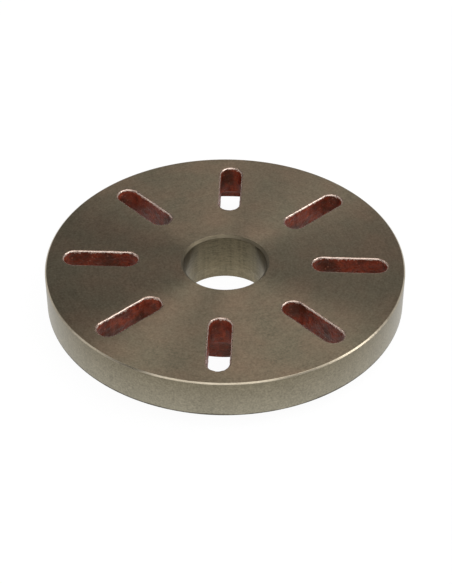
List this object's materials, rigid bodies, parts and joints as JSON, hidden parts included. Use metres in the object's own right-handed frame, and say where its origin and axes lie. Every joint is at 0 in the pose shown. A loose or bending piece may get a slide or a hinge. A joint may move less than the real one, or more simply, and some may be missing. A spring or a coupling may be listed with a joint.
{
  "type": "lathe faceplate",
  "caption": "Round cast-iron lathe faceplate with radial through slots, a plain centre bore, a deep rim and a rear hub with a short-taper camlock seat.",
  "frame": {"origin": "centre of the hub's back face, the lowest plane of the plate as it lies on a bench with its work face up", "axes": "+Z along the spindle axis, from the hub towards the work face; +X and +Y each run along the middle of a slot"},
  "size_m": [0.25, 0.25, 0.0385],
  "materials": {
    "turned_iron": "fine-turned grey iron, oiled, concentric tool marks",
    "casting_paint": "dark red machinery enamel over rough casting"
  },
  "bodies": {
    "root": {"faceplate": "turned_iron"}
  },
  "joints": []
}
